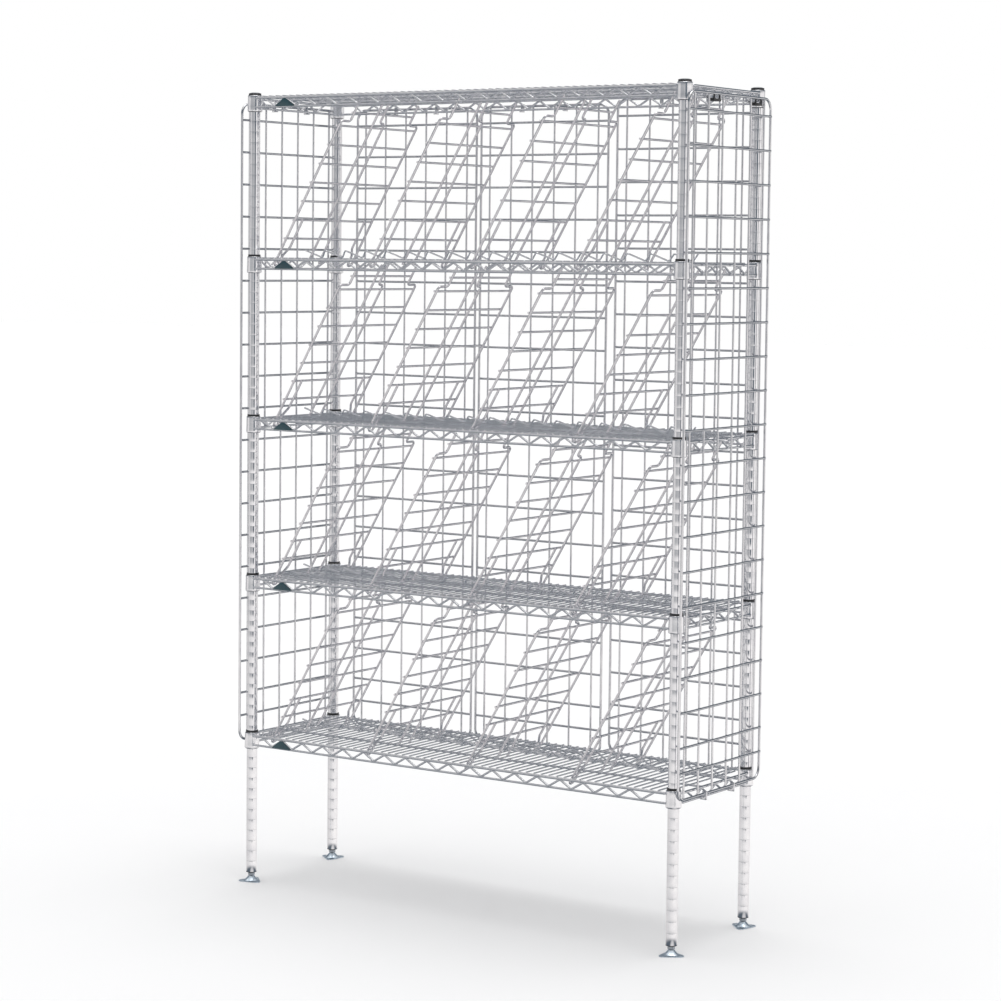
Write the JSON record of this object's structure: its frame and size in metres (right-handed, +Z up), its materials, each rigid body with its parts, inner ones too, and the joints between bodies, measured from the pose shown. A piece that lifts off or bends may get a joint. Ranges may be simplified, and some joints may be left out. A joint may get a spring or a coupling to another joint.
{
  "type": "wire wine rack",
  "caption": "Free-standing chrome wire wine rack with slanted bottle dividers, wire side and back panels and screw levelling feet",
  "frame": {"origin": "on the floor, midway between the four posts", "axes": "+X to the right along the long side, the open front faces -Y, +Z up"},
  "size_m": [1.2418, 0.3723, 1.895],
  "materials": {
    "post_chrome": "bright chrome over steel tube",
    "shelf_chrome": "bright chrome wire",
    "divider_chrome": "bright chrome wire",
    "panel_chrome": "bright chrome wire",
    "cap_plastic": "grey moulded cap",
    "insert_plastic": "black moulded plug",
    "sleeve_plastic": "black moulded split sleeve",
    "clip_plastic": "black moulded clip",
    "tag_plastic": "dark teal blank tag",
    "bolt_steel": "zinc plated hex bolt",
    "zinc_plate": "blue zinc plated pressing"
  },
  "bodies": {
    "rack": {"post_front_left": "post_chrome", "post_front_right": "post_chrome", "post_rear_left": "post_chrome", "post_rear_right": "post_chrome", "post_caps": "cap_plastic", "post_inserts": "insert_plastic", "shelf_1": "shelf_chrome", "shelf_2": "shelf_chrome", "shelf_3": "shelf_chrome", "shelf_4": "shelf_chrome", "shelf_5": "shelf_chrome", "sleeves_shelf_1": "sleeve_plastic", "sleeves_shelf_2": "sleeve_plastic", "sleeves_shelf_3": "sleeve_plastic", "sleeves_shelf_4": "sleeve_plastic", "sleeves_shelf_5": "sleeve_plastic", "divider_1_1": "divider_chrome", "divider_1_2": "divider_chrome", "divider_1_3": "divider_chrome", "divider_1_4": "divider_chrome", "divider_2_1": "divider_chrome", "divider_2_2": "divider_chrome", "divider_2_3": "divider_chrome", "divider_2_4": "divider_chrome", "divider_3_1": "divider_chrome", "divider_3_2": "divider_chrome", "divider_3_3": "divider_chrome", "divider_3_4": "divider_chrome", "divider_4_1": "divider_chrome", "divider_4_2": "divider_chrome", "divider_4_3": "divider_chrome", "divider_4_4": "divider_chrome", "side_panel_left": "panel_chrome", "side_panel_right": "panel_chrome", "back_panel_left": "panel_chrome", "back_panel_middle": "panel_chrome", "back_panel_right": "panel_chrome", "panel_clips": "clip_plastic", "panel_hooks": "panel_chrome", "shelf_tags": "tag_plastic"},
    "foot_front_left": {"foot_plate_front_left": "zinc_plate"},
    "bolt_front_left": {"leveller_front_left": "bolt_steel"},
    "foot_front_right": {"foot_plate_front_right": "zinc_plate"},
    "bolt_front_right": {"leveller_front_right": "bolt_steel"},
    "foot_rear_left": {"foot_plate_rear_left": "zinc_plate"},
    "bolt_rear_left": {"leveller_rear_left": "bolt_steel"},
    "foot_rear_right": {"foot_plate_rear_right": "zinc_plate"},
    "bolt_rear_right": {"leveller_rear_right": "bolt_steel"}
  },
  "joints": [
    {"name": "foot_slide_front_left", "type": "slide", "parent": "rack", "child": "foot_front_left", "axis": [0, 0, 1], "range_m": [-0.019, 0]},
    {"name": "leveller_turn_front_left", "type": "hinge", "parent": "foot_front_left", "child": "bolt_front_left", "pos_m": [-0.5905, -0.15875, 0.0175], "axis": [0, 0, 1], "range_deg": [-4308.66, 0]},
    {"name": "foot_slide_front_right", "type": "slide", "parent": "rack", "child": "foot_front_right", "axis": [0, 0, 1], "range_m": [-0.019, 0]},
    {"name": "leveller_turn_front_right", "type": "hinge", "parent": "foot_front_right", "child": "bolt_front_right", "pos_m": [0.5905, -0.15875, 0.0175], "axis": [0, 0, 1], "range_deg": [-4308.66, 0]},
    {"name": "foot_slide_rear_left", "type": "slide", "parent": "rack", "child": "foot_rear_left", "axis": [0, 0, 1], "range_m": [-0.019, 0]},
    {"name": "leveller_turn_rear_left", "type": "hinge", "parent": "foot_rear_left", "child": "bolt_rear_left", "pos_m": [-0.5905, 0.15875, 0.0175], "axis": [0, 0, 1], "range_deg": [-4308.66, 0]},
    {"name": "foot_slide_rear_right", "type": "slide", "parent": "rack", "child": "foot_rear_right", "axis": [0, 0, 1], "range_m": [-0.019, 0]},
    {"name": "leveller_turn_rear_right", "type": "hinge", "parent": "foot_rear_right", "child": "bolt_rear_right", "pos_m": [0.5905, 0.15875, 0.0175], "axis": [0, 0, 1], "range_deg": [-4308.66, 0]}
  ],
  "couplings": [
    {"joint": "foot_slide_front_left", "follows": "leveller_turn_front_left", "m_per_rad": 0.00025266},
    {"joint": "foot_slide_front_right", "follows": "leveller_turn_front_right", "m_per_rad": 0.00025266},
    {"joint": "foot_slide_rear_left", "follows": "leveller_turn_rear_left", "m_per_rad": 0.00025266},
    {"joint": "foot_slide_rear_right", "follows": "leveller_turn_rear_right", "m_per_rad": 0.00025266}
  ]
}
